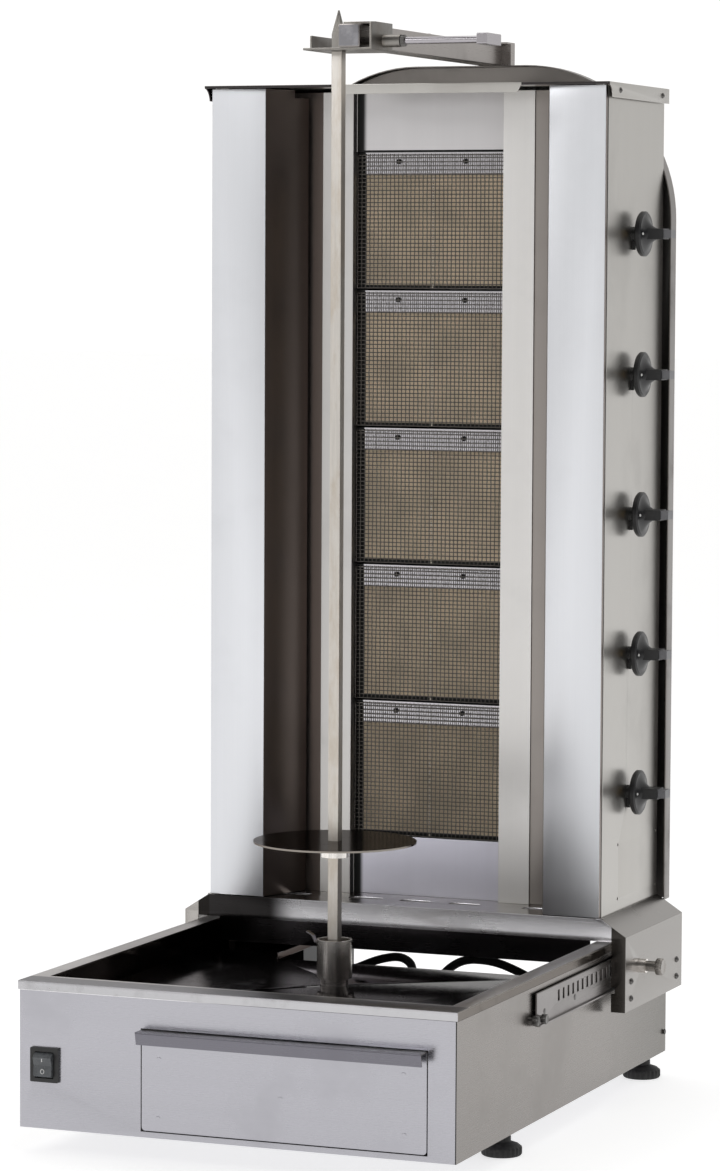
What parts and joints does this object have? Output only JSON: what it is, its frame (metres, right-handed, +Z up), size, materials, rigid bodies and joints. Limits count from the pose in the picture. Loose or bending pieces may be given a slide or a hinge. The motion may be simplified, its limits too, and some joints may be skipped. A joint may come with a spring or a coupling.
{
  "type": "vertical rotisserie broiler",
  "caption": "Gas vertical rotisserie broiler: grease-tray base with driven spit and disc, and a sliding burner tower with hinged wings, gas knobs, top arm and spit holder.",
  "frame": {"origin": "where the spit's axis meets the plane of the base's underside; the feet reach 28 mm below it", "axes": "+X to the user's right, +Y towards the back, +Z up along the spit"},
  "size_m": [0.5732, 0.743, 1.222],
  "materials": {
    "black_knob": "moulded, grey tip",
    "black_lead": "flexible sheath",
    "black_plastic": "moulded",
    "black_rubber": "matte",
    "bright_steel": "bright",
    "bright_wing": "bright, fine vertical grain",
    "brushed_base": "horizontal brushed grain",
    "brushed_carriage": "brushed",
    "brushed_panel": "fine vertical grain",
    "brushed_rail": "brushed along its length",
    "ceramic_tile": "perforated ceramic",
    "dark_enclosure": "black powder coat",
    "gas_brass": "machined",
    "gas_copper": "drawn tube",
    "grey_rocker": "moulded",
    "motor_paint": "grey enamel",
    "plain_steel": "mill finish",
    "polished_disc": "polished",
    "polished_tray": "polished, fat stained",
    "satin_frame": "satin",
    "smudged_cover": "heat tinted and smudged",
    "turned_steel": "turned",
    "wire_mesh": "heat tinted wire",
    "worn_spit_steel": "worn and heat tinted",
    "zinc_hardware": "zinc plated"
  },
  "bodies": {
    "base": {"base_housing": "brushed_base", "drip_tray": "polished_tray", "foot_pads": "black_rubber", "foot_studs": "zinc_hardware", "drive_motor": "motor_paint", "motor_bracket": "zinc_hardware", "shaft_bush": "turned_steel", "switch_bezel": "black_plastic", "junction_box": "dark_enclosure", "mains_inlet": "black_plastic", "base_leads": "black_lead", "drawer_runners": "zinc_hardware", "rail_left": "brushed_rail", "rail_right": "brushed_rail", "rail_screws": "zinc_hardware"},
    "drawer": {"drawer_front": "brushed_base", "drawer_lip": "brushed_base", "drawer_box": "plain_steel"},
    "rocker": {"switch_rocker": "grey_rocker"},
    "drive": {"drive_shaft": "turned_steel", "drive_cup": "turned_steel", "cup_grip": "bright_steel"},
    "spit": {"spit_bar": "worn_spit_steel"},
    "disc": {"meat_disc": "polished_disc", "disc_collar": "turned_steel", "collar_screw": "zinc_hardware"},
    "carriage": {"saddle": "brushed_carriage", "side_panel_left": "brushed_panel", "side_panel_right": "brushed_panel", "back_panel": "plain_steel", "top_lid": "brushed_panel", "rear_cover": "smudged_cover", "front_frame": "satin_frame", "burner_bodies": "plain_steel", "burner_tiles": "ceramic_tile", "burner_clamps": "bright_steel", "mesh_guards": "wire_mesh", "gas_manifold": "gas_brass", "gas_valves": "gas_brass", "gas_pipes": "gas_copper", "valve_bushings": "black_plastic", "arm": "brushed_rail", "arm_bracket": "brushed_rail", "lock_barrel": "turned_steel", "panel_screws": "zinc_hardware"},
    "wing_l": {"wing_left": "bright_wing"},
    "wing_r": {"wing_right": "bright_wing"},
    "holder": {"holder_head": "worn_spit_steel"},
    "clamp": {"clamp_screw": "bright_steel"},
    "lock": {"lock_plunger": "turned_steel"},
    "tap_1": {"tap_spindle_1": "gas_brass"},
    "grip_1": {"knob_1": "black_knob"},
    "tap_2": {"tap_spindle_2": "gas_brass"},
    "grip_2": {"knob_2": "black_knob"},
    "tap_3": {"tap_spindle_3": "gas_brass"},
    "grip_3": {"knob_3": "black_knob"},
    "tap_4": {"tap_spindle_4": "gas_brass"},
    "grip_4": {"knob_4": "black_knob"},
    "tap_5": {"tap_spindle_5": "gas_brass"},
    "grip_5": {"knob_5": "black_knob"}
  },
  "joints": [
    {"name": "drawer_slide", "type": "slide", "parent": "base", "child": "drawer", "axis": [0, -1, 0], "range_m": [0, 0.18]},
    {"name": "switch_rock", "type": "hinge", "parent": "base", "child": "rocker", "pos_m": [-0.2184, -0.276, 0.069], "axis": [1, 0, 0], "range_deg": [0, 14]},
    {"name": "spit_spin", "type": "hinge", "parent": "base", "child": "drive", "pos_m": [0, 0, 0.13], "axis": [0, 0, 1], "continuous": true},
    {"name": "spit_lift", "type": "slide", "parent": "drive", "child": "spit", "axis": [0, 0, 1], "range_m": [0, 0.06]},
    {"name": "disc_height", "type": "slide", "parent": "spit", "child": "disc", "axis": [0, 0, 1], "range_m": [-0.06, 0.7]},
    {"name": "carriage_slide", "type": "slide", "parent": "base", "child": "carriage", "axis": [0, -1, 0], "range_m": [0, 0.16]},
    {"name": "holder_slide", "type": "slide", "parent": "carriage", "child": "holder", "axis": [0, 1, 0], "range_m": [0, 0.16]},
    {"name": "clamp_turn", "type": "hinge", "parent": "holder", "child": "clamp", "pos_m": [0.1, 0.015, 1.161], "axis": [1, 0, 0], "continuous": true},
    {"name": "lock_pull", "type": "slide", "parent": "carriage", "child": "lock", "axis": [1, 0, 0], "range_m": [-0.006, 0]},
    {"name": "wing_left_swing", "type": "hinge", "parent": "carriage", "child": "wing_l", "pos_m": [-0.235, 0.2048, 0.65], "axis": [0, 0, -1], "range_deg": [0, 90]},
    {"name": "wing_right_swing", "type": "hinge", "parent": "carriage", "child": "wing_r", "pos_m": [0.235, 0.2048, 0.65], "axis": [0, 0, 1], "range_deg": [0, 90]},
    {"name": "knob_1_turn", "type": "hinge", "parent": "carriage", "child": "tap_1", "pos_m": [0.25, 0.2995, 0.9555], "axis": [1, 0, 0], "range_deg": [0, 270]},
    {"name": "knob_1_push", "type": "slide", "parent": "tap_1", "child": "grip_1", "axis": [-1, 0, 0], "range_m": [0, 0.004], "stiffness_N_per_m": 900},
    {"name": "knob_2_turn", "type": "hinge", "parent": "carriage", "child": "tap_2", "pos_m": [0.25, 0.2995, 0.7965], "axis": [1, 0, 0], "range_deg": [0, 270]},
    {"name": "knob_2_push", "type": "slide", "parent": "tap_2", "child": "grip_2", "axis": [-1, 0, 0], "range_m": [0, 0.004], "stiffness_N_per_m": 900},
    {"name": "knob_3_turn", "type": "hinge", "parent": "carriage", "child": "tap_3", "pos_m": [0.25, 0.2995, 0.6375], "axis": [1, 0, 0], "range_deg": [0, 270]},
    {"name": "knob_3_push", "type": "slide", "parent": "tap_3", "child": "grip_3", "axis": [-1, 0, 0], "range_m": [0, 0.004], "stiffness_N_per_m": 900},
    {"name": "knob_4_turn", "type": "hinge", "parent": "carriage", "child": "tap_4", "pos_m": [0.25, 0.2995, 0.4785], "axis": [1, 0, 0], "range_deg": [0, 270]},
    {"name": "knob_4_push", "type": "slide", "parent": "tap_4", "child": "grip_4", "axis": [-1, 0, 0], "range_m": [0, 0.004], "stiffness_N_per_m": 900},
    {"name": "knob_5_turn", "type": "hinge", "parent": "carriage", "child": "tap_5", "pos_m": [0.25, 0.2995, 0.3195], "axis": [1, 0, 0], "range_deg": [0, 270]},
    {"name": "knob_5_push", "type": "slide", "parent": "tap_5", "child": "grip_5", "axis": [-1, 0, 0], "range_m": [0, 0.004], "stiffness_N_per_m": 900}
  ],
  "couplings": [
    {"joint": "holder_slide", "follows": "carriage_slide", "ratio": 1}
  ]
}
